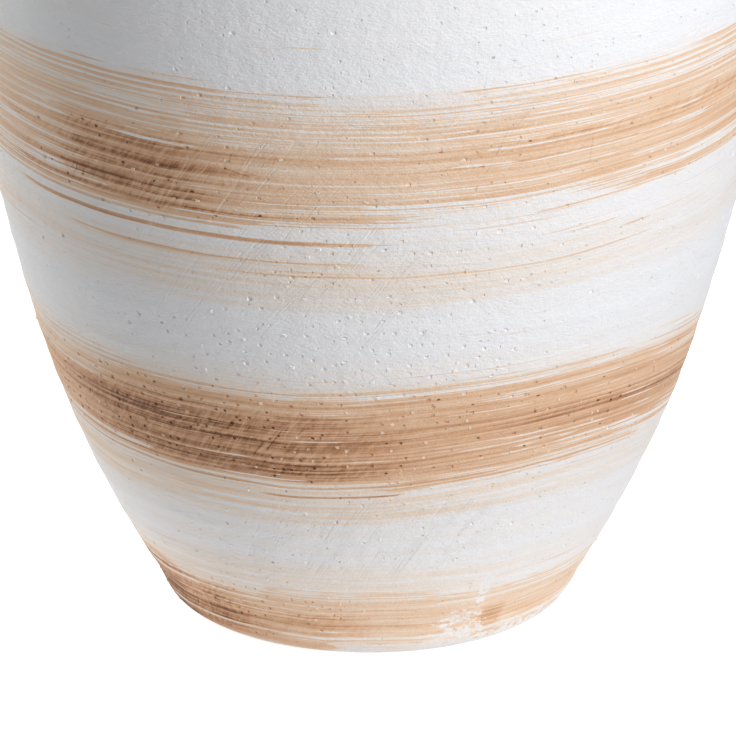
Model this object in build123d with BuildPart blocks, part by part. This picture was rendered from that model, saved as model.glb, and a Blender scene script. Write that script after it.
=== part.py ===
from build123d import *
import os
from collections import namedtuple
from math import cos, radians, sin, sqrt

# A three-handled water jar of coarse clay: thrown sections, a foot ring and pulled handles,
# luted together before firing. Millimetres, +Z up, origin at the centre of the resting ring.

# Clay
wall = 9
floor_thickness = 11
floor_radius = 58
floor_round = 30

# Foot ring
foot_height = 14
foot_top_radius = 82
foot_side_lean = 20
foot_rest_radius = 69
foot_rest_width = 12
foot_edge_round = 7
foot_bore_radius = 52

# Heights of the thrown sections, from the foot up
lower_body_height = 136
belly_lower_height = 150
belly_upper_height = 52
shoulder_height = 48
neck_lower_height = 32
neck_upper_height = 30
rim_height = 18

# Outside radii where the sections meet, and the lean of the wall there, in degrees outwards
foot_joint_lean = 31
lower_seam_radius = 135.6
lower_seam_lean = 13.5
belly_radius = 155
upper_seam_radius = 139
upper_seam_lean = -38
neck_joint_radius = 64
neck_joint_lean = -64
neck_waist_radius = 50
rim_joint_radius = 60
rim_joint_lean = 30
rim_radius = 76
lip_bead_radius = 6.5
lip_lean = 60

# Luting joint: a ridge on each lower edge, in a groove of the section above
ridge_width = 5
ridge_height = 3

# Handles: how suddenly they thicken at the roots, and the sections each is pulled through
root_sharpness = 4
handle_steps = 8

# Lifting handles: round loops at the belly, turned up
loop_half_span = 50
loop_reach = 58
loop_tilt = 30
loop_radius = 11
loop_root_radius = 16

# Pouring handle: a strap from the neck to the shoulder
strap_half_width = 15
strap_half_thickness = 8
strap_root_half_width = 20
strap_root_half_thickness = 12
strap_neck_rise = 8
strap_neck_lean = 25
strap_neck_pull = 60
strap_shoulder_place = 0.4
strap_shoulder_pull = 70

os.makedirs("parts", exist_ok=True)

# A station is a point on the outside of the wall and the way the wall leans there
Station = namedtuple("Station", "radius height lean")

lower_seam_height = foot_height + lower_body_height
belly_height = lower_seam_height + belly_lower_height
upper_seam_height = belly_height + belly_upper_height
neck_joint_height = upper_seam_height + shoulder_height
neck_waist_height = neck_joint_height + neck_lower_height
rim_joint_height = neck_waist_height + neck_upper_height
lip_centre_height = rim_joint_height + rim_height - lip_bead_radius

foot_joint = Station(foot_top_radius, foot_height, foot_joint_lean)
lower_seam = Station(lower_seam_radius, lower_seam_height, lower_seam_lean)
belly_line = Station(belly_radius, belly_height, 0)
upper_seam = Station(upper_seam_radius, upper_seam_height, upper_seam_lean)
neck_joint = Station(neck_joint_radius, neck_joint_height, neck_joint_lean)
neck_waist = Station(neck_waist_radius, neck_waist_height, 0)
rim_joint = Station(rim_joint_radius, rim_joint_height, rim_joint_lean)
lip_start = Station(
    rim_radius - lip_bead_radius + lip_bead_radius * cos(radians(lip_lean)),
    lip_centre_height - lip_bead_radius * sin(radians(lip_lean)),
    lip_lean,
)


def up_wall(lean):
    """Direction up along the wall, as (radius, height)."""
    return Vector(sin(radians(lean)), cos(radians(lean)))


def into_wall(lean):
    """Direction into the wall, square to its outside."""
    return Vector(-cos(radians(lean)), sin(radians(lean)))


def wall_point(station, depth=0):
    return Vector(station.radius, station.height) + into_wall(station.lean) * depth


def wall_curve(low, high, low_depth=0, high_depth=0):
    """One smooth stretch of the wall, tangent to its lean at both stations."""
    start = wall_point(low, low_depth)
    end = wall_point(high, high_depth)
    pull = (end - start).length / 3
    return Bezier(start, start + up_wall(low.lean) * pull, end - up_wall(high.lean) * pull, end)


def luted_seam(station):
    """The line across the wall where two sections meet, with the ridge of the luting joint."""
    return Polyline(
        wall_point(station),
        wall_point(station, (wall - ridge_width) / 2),
        wall_point(station, wall / 2) + up_wall(station.lean) * ridge_height,
        wall_point(station, (wall + ridge_width) / 2),
        wall_point(station, wall),
    )


def foot_seam():
    """The line where the foot ring meets the floor, with its ridge halfway."""
    ridge_radius = (foot_top_radius + foot_bore_radius) / 2
    return Polyline(
        (foot_top_radius, foot_height),
        (ridge_radius + ridge_width / 2, foot_height),
        (ridge_radius, foot_height + ridge_height),
        (ridge_radius - ridge_width / 2, foot_height),
        (foot_bore_radius, foot_height),
    )


def foot_side():
    """The outside of the foot, rounded under to the resting ring."""
    top = Vector(foot_top_radius, foot_height)
    rest_edge = Vector(foot_rest_radius, 0)
    side_pull = up_wall(foot_side_lean) * (foot_height / 2)
    return Bezier(top, top - side_pull, rest_edge + Vector(foot_edge_round, 0), rest_edge)


# Foot ring, with a sloping bore under the floor
with BuildPart() as foot:
    with BuildSketch(Plane.XZ):
        with BuildLine():
            foot_side()
            Polyline(
                (foot_rest_radius, 0),
                (foot_rest_radius - foot_rest_width, 0),
                (foot_bore_radius, foot_height),
            )
            foot_seam()
        make_face()
    revolve(axis=Axis.Z)

# Lower body: the wall runs down into the jar's floor
with BuildPart() as lower_body:
    with BuildSketch(Plane.XZ):
        with BuildLine():
            floor_edge = Vector(floor_radius, foot_height + floor_thickness)
            wall_foot = wall_point(lower_seam, wall)
            inner_pull = (wall_foot - floor_edge).length / 3
            wall_curve(foot_joint, lower_seam)
            luted_seam(lower_seam)
            Bezier(
                wall_foot,
                wall_foot - up_wall(lower_seam.lean) * inner_pull,
                floor_edge + Vector(floor_round, 0),
                floor_edge,
            )
            Polyline(
                floor_edge,
                (0, foot_height + floor_thickness),
                (0, foot_height),
                (foot_bore_radius, foot_height),
            )
            foot_seam()
        make_face()
    revolve(axis=Axis.Z)

# Belly: the widest section
with BuildPart() as belly:
    with BuildSketch(Plane.XZ):
        with BuildLine():
            wall_curve(lower_seam, belly_line)
            wall_curve(belly_line, upper_seam)
            luted_seam(upper_seam)
            wall_curve(belly_line, upper_seam, wall, wall)
            wall_curve(lower_seam, belly_line, wall, wall)
            luted_seam(lower_seam)
        make_face()
    revolve(axis=Axis.Z)

# Shoulder: closes in over the belly
with BuildPart() as shoulder:
    with BuildSketch(Plane.XZ):
        with BuildLine():
            wall_curve(upper_seam, neck_joint)
            luted_seam(neck_joint)
            wall_curve(upper_seam, neck_joint, wall, wall)
            luted_seam(upper_seam)
        make_face()
    revolve(axis=Axis.Z)

# Neck: drawn in to a waist
with BuildPart() as neck:
    with BuildSketch(Plane.XZ):
        with BuildLine():
            wall_curve(neck_joint, neck_waist)
            wall_curve(neck_waist, rim_joint)
            luted_seam(rim_joint)
            wall_curve(neck_waist, rim_joint, wall, wall)
            wall_curve(neck_joint, neck_waist, wall, wall)
            luted_seam(neck_joint)
        make_face()
    revolve(axis=Axis.Z)

# Rim: flares out to a round, thickened lip
with BuildPart() as rim:
    with BuildSketch(Plane.XZ):
        with BuildLine():
            wall_curve(rim_joint, lip_start)
            ThreePointArc(
                wall_point(lip_start),
                wall_point(lip_start, lip_bead_radius) + up_wall(lip_lean) * lip_bead_radius,
                wall_point(lip_start, 2 * lip_bead_radius),
            )
            wall_curve(rim_joint, lip_start, wall, 2 * lip_bead_radius)
            luted_seam(rim_joint)
        make_face()
    revolve(axis=Axis.Z)

# The outside of the body as one solid, which the handles are cut to sit on
with BuildPart() as outer_form:
    with BuildSketch(Plane.XZ):
        with BuildLine():
            wall_curve(foot_joint, lower_seam)
            wall_curve(lower_seam, belly_line)
            wall_curve(belly_line, upper_seam)
            wall_curve(upper_seam, neck_joint)
            wall_curve(neck_joint, neck_waist)
            wall_curve(neck_waist, rim_joint)
            Polyline(
                (rim_joint_radius, rim_joint_height),
                (0, rim_joint_height),
                (0, foot_height),
                (foot_top_radius, foot_height),
            )
        make_face()
    revolve(axis=Axis.Z)



def root_share(place):
    """How far a handle has thickened: 0 at mid grip, 1 at both roots."""
    return abs(2 * place - 1) ** root_sharpness


# Lifting handle: half an ellipse from wall to wall, whose roots run into the wall and are cut there
loop_centre = Vector(sqrt(belly_radius**2 - loop_half_span**2), 0, belly_height)
loop_out = Vector(cos(radians(loop_tilt)), 0, sin(radians(loop_tilt)))
loop_up = Vector(-sin(radians(loop_tilt)), 0, cos(radians(loop_tilt)))
loop_root_depth = 2 * loop_root_radius

with BuildLine(Plane(loop_centre, x_dir=loop_out, z_dir=loop_up)) as loop_path:
    EllipticalCenterArc((0, 0), loop_reach, loop_half_span, start_angle=-90, arc_size=180)

with BuildPart() as right_handle:
    first_end = loop_path.line @ 0 - loop_out * loop_root_depth
    with BuildSketch(Plane(first_end, x_dir=loop_up, z_dir=loop_out)):
        Circle(loop_root_radius)
    for step in range(handle_steps + 1):
        place = step / handle_steps
        thickening = (loop_root_radius - loop_radius) * root_share(place)
        with BuildSketch(Plane(loop_path.line @ place, x_dir=loop_up, z_dir=loop_path.line % place)):
            Circle(loop_radius + thickening)
    last_end = loop_path.line @ 1 - loop_out * loop_root_depth
    with BuildSketch(Plane(last_end, x_dir=loop_up, z_dir=-loop_out)):
        Circle(loop_root_radius)
    loft()
    add(outer_form.part, mode=Mode.SUBTRACT)

with BuildPart() as left_handle:
    mirror(right_handle.part, about=Plane.YZ)

# Pouring handle: an oval strap at the back, arching from the neck's waist down to the shoulder
with BuildLine() as shoulder_line:
    wall_curve(upper_seam, neck_joint)

root_point = shoulder_line.line @ strap_shoulder_place
root_slope = shoulder_line.line % strap_shoulder_place
strap_root = Vector(0, root_point.X, root_point.Y)
strap_root_out = Vector(0, root_slope.Y, -root_slope.X)
strap_top = Vector(0, neck_waist_radius, neck_waist_height + strap_neck_rise)
strap_top_out = Vector(0, cos(radians(strap_neck_lean)), sin(radians(strap_neck_lean)))
strap_root_depth = 2 * strap_root_half_thickness
across = Vector(1, 0, 0)

with BuildLine() as strap_path:
    Bezier(
        strap_top,
        strap_top + strap_top_out * strap_neck_pull,
        strap_root + strap_root_out * strap_shoulder_pull,
        strap_root,
    )

with BuildPart() as pouring_handle:
    neck_end = strap_top - strap_top_out * strap_root_depth
    with BuildSketch(Plane(neck_end, x_dir=across, z_dir=strap_top_out)):
        Ellipse(strap_root_half_width, strap_root_half_thickness)
    for step in range(handle_steps + 1):
        place = step / handle_steps
        widening = (strap_root_half_width - strap_half_width) * root_share(place)
        thickening = (strap_root_half_thickness - strap_half_thickness) * root_share(place)
        with BuildSketch(Plane(strap_path.line @ place, x_dir=across, z_dir=strap_path.line % place)):
            Ellipse(strap_half_width + widening, strap_half_thickness + thickening)
    shoulder_end = strap_root - strap_root_out * strap_root_depth
    with BuildSketch(Plane(shoulder_end, x_dir=across, z_dir=-strap_root_out)):
        Ellipse(strap_root_half_width, strap_root_half_thickness)
    loft()
    add(outer_form.part, mode=Mode.SUBTRACT)

foot.part.label = "foot"
lower_body.part.label = "lower_body"
belly.part.label = "belly"
shoulder.part.label = "shoulder"
neck.part.label = "neck"
rim.part.label = "rim"
right_handle.part.label = "right_handle"
left_handle.part.label = "left_handle"
pouring_handle.part.label = "pouring_handle"

export_step(foot.part, "parts/foot.step")
export_step(lower_body.part, "parts/lower_body.step")
export_step(belly.part, "parts/belly.step")
export_step(shoulder.part, "parts/shoulder.step")
export_step(neck.part, "parts/neck.step")
export_step(rim.part, "parts/rim.step")
export_step(right_handle.part, "parts/right_handle.step")
export_step(left_handle.part, "parts/left_handle.step")
export_step(pouring_handle.part, "parts/pouring_handle.step")
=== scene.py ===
# %% [markdown]
# # A footed water jar in white slip, with brushed brown bands
#
# The CAD model gives the jar its size and its nine clay pieces. This lesson gives each piece the
# surface of hand-made earthenware: a wall that strays a little from a true circle, pinholes and
# grains, a coat of white slip, and brown bands that were brushed on while the jar turned.
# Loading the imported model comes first, because every piece is placed by it.

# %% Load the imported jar
import math
import random

import bmesh
import bpy
import numpy as np
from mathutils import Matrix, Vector


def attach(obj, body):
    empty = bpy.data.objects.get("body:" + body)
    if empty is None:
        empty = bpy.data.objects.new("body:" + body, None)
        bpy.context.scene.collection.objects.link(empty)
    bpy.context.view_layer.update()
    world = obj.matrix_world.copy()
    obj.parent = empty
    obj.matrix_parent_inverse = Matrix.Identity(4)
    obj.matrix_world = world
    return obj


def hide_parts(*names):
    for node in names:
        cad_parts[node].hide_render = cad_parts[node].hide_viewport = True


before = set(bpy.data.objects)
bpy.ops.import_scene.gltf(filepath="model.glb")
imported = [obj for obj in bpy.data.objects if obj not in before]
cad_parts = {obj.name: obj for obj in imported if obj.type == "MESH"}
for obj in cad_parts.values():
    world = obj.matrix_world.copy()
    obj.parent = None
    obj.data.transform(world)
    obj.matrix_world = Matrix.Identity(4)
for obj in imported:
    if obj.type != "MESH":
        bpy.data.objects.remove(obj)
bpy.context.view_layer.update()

MM = 0.001
scene = bpy.context.scene
scene.view_settings.view_transform = "Standard"
print("CAD pieces:", ", ".join(sorted(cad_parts)))

# %% [markdown]
# ## Where the photographer stood
#
# The foot shows as a shallow ellipse, so the camera looks down on it, and both sides of the wall
# rise almost straight out of the picture, so it stands far off with a long lens. A long lens keeps
# the foot's ellipse and the bands' ellipses nearly alike, as they are in the picture.

# %% Camera
camera_distance = 1.808
camera_drop = math.radians(18.8)
aim_height = 0.089

camera_data = bpy.data.cameras.new("photo_camera")
camera_data.lens = 230
camera_data.sensor_width = 36
camera = bpy.data.objects.new("photo_camera", camera_data)
camera.location = (
    -0.0004,
    -camera_distance * math.cos(camera_drop),
    aim_height + camera_distance * math.sin(camera_drop),
)
camera.rotation_euler = (math.pi / 2 - camera_drop, 0, 0)
scene.collection.objects.link(camera)
scene.camera = camera
print("camera at", [round(c, 3) for c in camera.location])

# %% [markdown]
# ## The wall's outline
#
# A thrown wall is known by a few stations: how wide it is at a height, and how it leans there. A
# Bezier curve between two stations gives the wall that a potter's hand would. The CAD pieces were
# revolved from the same stations, so a mesh made from them lies on the solid. A mesh of our own is
# needed because the CAD surface is too smooth to carry dents and pinholes.

# %% Stations of the wall, in millimetres
foot_joint = (82.0, 14.0, 31.0)
lower_seam = (135.6, 150.0, 13.5)
belly_line = (155.0, 300.0, 0.0)
upper_seam = (139.0, 352.0, -38.0)
neck_joint = (64.0, 400.0, -64.0)
neck_waist = (50.0, 432.0, 0.0)
rim_joint = (60.0, 462.0, 30.0)
wall = 9.0

lip_bead = 6.5
lip_lean = 60.0
lip_centre = (69.5, 473.5)
lip_start = (
    lip_centre[0] + lip_bead * math.cos(math.radians(lip_lean)),
    lip_centre[1] - lip_bead * math.sin(math.radians(lip_lean)),
    lip_lean,
)


def up_wall(lean):
    """Direction up along the wall, as (radius, height)."""
    return np.array([math.sin(math.radians(lean)), math.cos(math.radians(lean))])


def wall_point(station, depth=0.0):
    """A point at this depth inside the wall, square to its outside."""
    radius, height, lean = station
    inward = np.array([-math.cos(math.radians(lean)), math.sin(math.radians(lean))])
    return np.array([radius, height]) + depth * inward


def bezier(points, step):
    """Points about one step apart on a cubic Bezier curve."""
    a, b, c, d = (np.asarray(p, float) for p in points)
    count = max(3, math.ceil(np.linalg.norm(d - a) / step) + 1)
    t = np.linspace(0, 1, count)[:, None]
    return a * (1 - t) ** 3 + 3 * b * t * (1 - t) ** 2 + 3 * c * t**2 * (1 - t) + d * t**3


def wall_curve(low, high, step, low_depth=0.0, high_depth=0.0):
    """One smooth stretch of the wall, from the lower station up."""
    start = wall_point(low, low_depth)
    end = wall_point(high, high_depth)
    pull = np.linalg.norm(end - start) / 3
    return bezier((start, start + pull * up_wall(low[2]), end - pull * up_wall(high[2]), end), step)


print("lip starts at", [round(v, 2) for v in lip_start])

# %% [markdown]
# ## Seams between the sections
#
# A jar this tall is thrown in sections that are luted: scored, wetted with slip and pressed
# together. Each seam has a small ridge halfway through the wall, which keeps the two sections in
# line. From outside a seam doesn't show, because it is wiped smooth and covered with slip.

# %% Seam lines
ridge_width = 5.0
ridge_height = 3.0


def luted_seam(station):
    """The line across the wall from outside to inside, with its ridge."""
    ridge = wall_point(station, wall / 2) + ridge_height * up_wall(station[2])
    return [
        wall_point(station),
        wall_point(station, (wall - ridge_width) / 2),
        ridge,
        wall_point(station, (wall + ridge_width) / 2),
        wall_point(station, wall),
    ]


foot_bore = 52.0
foot_rest = (57.0, 69.0)
ridge_middle = (foot_joint[0] + foot_bore) / 2
foot_seam = [
    (foot_joint[0], foot_joint[1]),
    (ridge_middle + ridge_width / 2, foot_joint[1]),
    (ridge_middle, foot_joint[1] + ridge_height),
    (ridge_middle - ridge_width / 2, foot_joint[1]),
    (foot_bore, foot_joint[1]),
]
print("seams at heights", [s[1] for s in (foot_joint, lower_seam, upper_seam, neck_joint, rim_joint)])

# %% [markdown]
# ## Six sections, each a closed line to turn round the axis
#
# A section's line goes up the outside, across the seam, down the inside and back. The outside gets
# a point every 1.7 mm, fine enough for pinholes, and the inside, which hardly shows, every 5 mm.

# %% Section lines
outer_step = 1.7
inner_step = 5.0
floor_edge = np.array([58.0, 25.0])
floor_round = 30.0
floor_ring = 30.0
foot_lean = 20.0
foot_round = 7.0
foot_step = 1.2


def inside(low, high, high_depth=wall):
    """The inside of the wall, from the lower station up."""
    return wall_curve(low, high, inner_step, wall, high_depth)


def joined(*stretches):
    """Stretches one after another, without repeating the points where they meet."""
    line = [np.asarray(stretches[0][0], float)]
    for stretch in stretches:
        for point in stretch:
            if np.linalg.norm(np.asarray(point, float) - line[-1]) > 1e-6:
                line.append(np.asarray(point, float))
    return line


def thrown(*stations):
    """The outside, and the rest, of a section that runs from seam to seam through these stations."""
    stretches = list(zip(stations, stations[1:]))
    outside = joined(*(wall_curve(low, high, outer_step) for low, high in stretches))
    inner = [inside(low, high)[::-1] for low, high in reversed(stretches)]
    return outside, joined(luted_seam(stations[-1]), *inner, luted_seam(stations[0])[::-1])


def lip_arc():
    """Half a circle over the bead of the lip."""
    bend = np.radians(np.linspace(-lip_lean, 180 - lip_lean, 13))
    return [(lip_centre[0] + lip_bead * math.cos(a), lip_centre[1] + lip_bead * math.sin(a)) for a in bend]


wall_foot = wall_point(lower_seam, wall)
inner_pull = np.linalg.norm(wall_foot - floor_edge) / 3
bowl = bezier(
    (
        wall_foot,
        wall_foot - inner_pull * up_wall(lower_seam[2]),
        floor_edge + (floor_round, 0),
        floor_edge,
    ),
    inner_step,
)
foot_edge, foot_top = foot_rest[1], foot_joint[1]
foot_corner = np.array(foot_joint[:2])
foot_side = bezier(
    (
        (foot_edge, 0),
        (foot_edge + foot_round, 0),
        foot_corner - foot_round * up_wall(foot_lean),
        foot_corner,
    ),
    foot_step,
)
floor_disc = [(floor_ring, floor_edge[1]), (0, floor_edge[1]), (0, foot_top), (floor_ring, foot_top)]

section_lines = {
    "foot": (foot_side, joined(foot_seam, [(foot_bore, foot_top), (foot_rest[0], 0), (foot_edge, 0)])),
    "lower_body": (
        wall_curve(foot_joint, lower_seam, outer_step),
        joined(luted_seam(lower_seam), bowl, floor_disc, foot_seam[::-1]),
    ),
    "belly": thrown(lower_seam, belly_line, upper_seam),
    "shoulder": thrown(upper_seam, neck_joint),
    "neck": thrown(neck_joint, neck_waist, rim_joint),
    "rim": (
        joined(wall_curve(rim_joint, lip_start, outer_step), lip_arc()),
        joined(inside(rim_joint, lip_start, 2 * lip_bead)[::-1], luted_seam(rim_joint)[::-1]),
    ),
}
print("rows up the outside:", {name: len(line[0]) for name, line in section_lines.items()})

# %% [markdown]
# ## How far a hand-thrown wall strays
#
# No thrown jar is truly round. It is a little oval, a little fuller low down where the hand pushed
# the wall out, it carries the shallow spiral that the fingers left as they rose, and it has soft
# dents from being handled while damp. Waves in the angle and the height give all of these, and
# since one formula serves every section, the sections still meet at their seams.

# %% Stray of the wall
def hand_stray(angle, height):
    """Distance from the true circle, in millimetres."""
    oval = 0.45 * np.cos(2 * angle + 3.3) + 0.18 * np.cos(3 * angle - height / 70)
    swell = 0.70 * np.exp(-(((height - 78) / 46) ** 2))
    spiral = 0.07 * np.sin(height / 1.45 + angle) + 0.10 * np.sin(height / 2.9 + angle + 1.1)
    dents = 0.16 * np.sin(5 * angle + height / 17) * np.sin(2 * angle - height / 31)
    return oval + swell + spiral + dents


sample_angles = np.linspace(0, 2 * np.pi, 400)[:, None]
sample_heights = np.linspace(0, 480, 400)[None, :]
print("the wall strays by %.2f mm at most" % np.abs(hand_stray(sample_angles, sample_heights)).max())

# %% [markdown]
# ## Pinholes, nicks and grains
#
# Coarse clay is full of small pinholes where air or a grain of grit came out, and of grains that
# stand proud under the slip. A bump map would only darken them. Here each one is real: a face of
# the wall is inset to a small rim, and then inset again while it is pushed in or pulled out. The
# mesh keeps a tag for each spot as an attribute, so that the finish can settle pigment in the holes
# and, where the slip is bare, lay a faint painted shade in them.
# Spots come in patches, where the clay was coarser: each patch is a stretch of height and of angle
# with soft edges, and the chance of a spot there. Angle 0 faces the camera.

# %% Pinhole and grain maker
spot_seed = random.Random(41)
# height, half height, soft edge, from angle, to angle, soft ends, chance
coarse_patches = [
    (140, 13, 6, -26, 14, 10, 1.00),
    (104, 15, 3, -62, 8, 12, 0.90),
    (104, 13, 4, 14, 58, 12, 0.40),
    (170, 10, 8, -12, 22, 12, 0.45),
    (202, 14, 10, -50, 14, 14, 0.22),
    (16, 10, 6, -70, -12, 14, 0.60),
    (60, 14, 8, -30, 10, 14, 0.12),
    (230, 90, 60, 130, 165, 20, 0.40),
    (90, 50, 30, -165, -120, 20, 0.50),
    (400, 70, 40, -60, 20, 40, 0.30),
]
chance_elsewhere = 0.03


def coarseness(height, angle):
    """Chance of a spot at a height in millimetres and an angle from -180 to 180 degrees."""
    chance = chance_elsewhere
    for middle, half, soft, start, end, soft_end, most in coarse_patches:
        level = np.interp(abs(height - middle), (half, half + soft), (1, 0))
        aside = np.interp(angle, (start - soft_end, start, end, end + soft_end), (0, 1, 1, 0))
        chance = max(chance, most * level * aside)
    return chance


def press_spots(mesh_edit, faces, rim, wall_width, depth, tag, tag_value):
    """Push faces in (depth below 0) or pull them out, each inside its own ragged rim."""
    for width, push, value, ragged in ((rim, 0.0, 0.0, 0.20), (wall_width, depth, tag_value, 0.10)):
        bmesh.ops.inset_individual(mesh_edit, faces=faces, thickness=width, depth=push)
        for face in faces:
            for corner in face.verts:
                corner[tag] = value
                slide = Vector([spot_seed.uniform(-1, 1) for _ in range(3)]) * ragged * MM
                corner.co += slide - slide.project(face.normal)


def scatter(heights, around, count, taken):
    """Places for spots, thicker in the coarse patches and never side by side."""
    places = []
    while len(places) < count:
        row, column = spot_seed.randrange(1, len(heights) - 2), spot_seed.randrange(around)
        angle = (column * 360 / around + 180) % 360 - 180
        near = {(row + i, (column + j) % around) for i in (-1, 0, 1) for j in (-1, 0, 1)}
        if spot_seed.random() < coarseness(heights[row], angle) and not near & taken:
            taken |= {(row, column)}
            places.append(row * around + column)
    return places


print("spots are scattered from a fixed seed, so that every run is the same")

# %% [markdown]
# ## Throwing a section
#
# Turning the line round the axis gives a grid of points, and faces between them. numpy works out
# the points, which is far quicker than a modifier at this density, and bmesh closes the floor's
# centre and adds the spots. The outside takes the first material, the inside the second.

# %% Section maker
faces_around = 432
turn = np.arange(faces_around) * 2 * np.pi / faces_around


def spot_kinds(pinholes, grains):
    """Count, rim, wall and depth in mm, and tag: above 0 pigment and a little painted shade settle there,
    below 0 it is rubbed off.
    """
    return [
        (pinholes // 3, 0.24, 0.42, -0.40, 0.5),
        (pinholes // 4, 0.53, 0.20, -0.32, 1.7),
        (pinholes // 6, 0.45, 0.27, -0.36, 1.7),
        (pinholes // 6, 0.20, 0.44, -0.44, -2.2),
        (grains, 0.34, 0.36, 0.32, -1.6),
    ]


def throw_section(name, outside, rest, pinholes, grains):
    """A closed mesh of one thrown section."""
    line = np.array(joined(outside, rest))
    if np.linalg.norm(line[-1] - line[0]) < 1e-6:
        line = line[:-1]
    rows = len(line)
    radius = line[:, :1] + hand_stray(turn[None, :], line[:, 1:]) * (line[:, :1] > 1)
    points = np.stack(
        [
            radius * np.sin(turn),
            -radius * np.cos(turn),
            np.repeat(line[:, 1:], faces_around, axis=1),
        ],
        axis=-1,
    )
    faces = []
    for row in range(rows):
        above = (row + 1) % rows
        if line[row][0] < 1e-6 and line[above][0] < 1e-6:
            continue
        for column in range(faces_around):
            beside = (column + 1) % faces_around
            faces.append(
                (
                    row * faces_around + column,
                    row * faces_around + beside,
                    above * faces_around + beside,
                    above * faces_around + column,
                )
            )
    mesh = bpy.data.meshes.new(name)
    mesh.from_pydata((points.reshape(-1, 3) * MM).tolist(), [], faces)
    outside_faces = (len(outside) - 1) * faces_around

    edit = bmesh.new()
    edit.from_mesh(mesh)
    edit.faces.ensure_lookup_table()
    for face in edit.faces:
        face.smooth = True
        face.material_index = 0 if face.index < outside_faces else 1
    tag = edit.verts.layers.float.new("pinhole")
    taken = set()
    chosen = [
        ([edit.faces[i] for i in scatter(line[:len(outside), 1], faces_around, count, taken)], *sizes)
        for count, *sizes in spot_kinds(pinholes, grains)
    ]
    for spot_faces, rim, wall_width, depth, tag_value in chosen:
        press_spots(edit, spot_faces, rim * MM, wall_width * MM, depth * MM, tag, tag_value)
    centre = [v for v in edit.verts if math.hypot(v.co.x, v.co.y) < 1e-7]
    bmesh.ops.remove_doubles(edit, verts=centre, dist=1e-7)
    edit.to_mesh(mesh)
    edit.free()
    mesh.set_sharp_from_angle(angle=math.radians(38))
    piece = bpy.data.objects.new(name + "_clay", mesh)
    scene.collection.objects.link(piece)
    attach(piece, "root")
    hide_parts(name)
    return piece


print("a section has", faces_around, "faces round it, about %.1f mm wide at the belly"
      % (2 * math.pi * belly_line[0] / faces_around))

# %% The six sections
spot_counts = {
    "foot": (40, 20),
    "lower_body": (840, 160),
    "belly": (680, 120),
    "shoulder": (240, 50),
    "neck": (110, 24),
    "rim": (30, 30),
}
sections = {
    name: throw_section(name, *section_lines[name], *spot_counts[name]) for name in section_lines
}
for name, piece in sections.items():
    print(name, "has", len(piece.data.polygons), "faces")

# %% [markdown]
# ## Handles
#
# A potter pulls a handle from a wet roll of clay, so that it thins towards the middle, presses its
# two ends on the wall, and wipes a fillet of slip round each root. A curve with a bevel would give
# the roll but not the root. So rings of points are swept along the handle's path, and near the
# wall each ring spreads into a fillet of its own.

# %% Distance from the wall
outline = np.concatenate([np.array(section_lines[n][0]) for n in section_lines])
outline = outline[np.argsort(outline[:, 1], kind="stable")]


def wall_distance(points):
    """For points in millimetres: distance out of the wall, and the wall's outward direction."""
    across = np.hypot(points[:, 0], points[:, 1])
    here = np.interp(points[:, 2], outline[:, 1], outline[:, 0])
    slope = np.interp(points[:, 2] + 1, outline[:, 1], outline[:, 0]) - here
    steep = 1 / np.sqrt(1 + slope**2)
    outward = np.stack(
        [points[:, 0] / across * steep, points[:, 1] / across * steep, -slope * steep], axis=1
    )
    return (across - here) * steep, outward


print("outline runs from %.0f to %.0f mm" % (outline[0, 1], outline[-1, 1]))

# %% Handle maker
fillet = 8.0
root_depth = 3.0
overrun = 0.12


def along_path(path, places):
    """Points and directions at shares of a path's length, straight on past both ends."""
    steps = np.linalg.norm(np.diff(path, axis=0), axis=1)
    reach = np.concatenate([[0], np.cumsum(steps)]) / steps.sum()
    slope = np.gradient(path, axis=0)
    slope /= np.linalg.norm(slope, axis=1)[:, None]
    held = np.clip(places, 0, 1)
    at = np.stack([np.interp(held, reach, path[:, k]) for k in range(3)], axis=1)
    way = np.stack([np.interp(held, reach, slope[:, k]) for k in range(3)], axis=1)
    way /= np.linalg.norm(way, axis=1)[:, None]
    return at + way * ((places - held) * steps.sum())[:, None], way, steps.sum()


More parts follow.
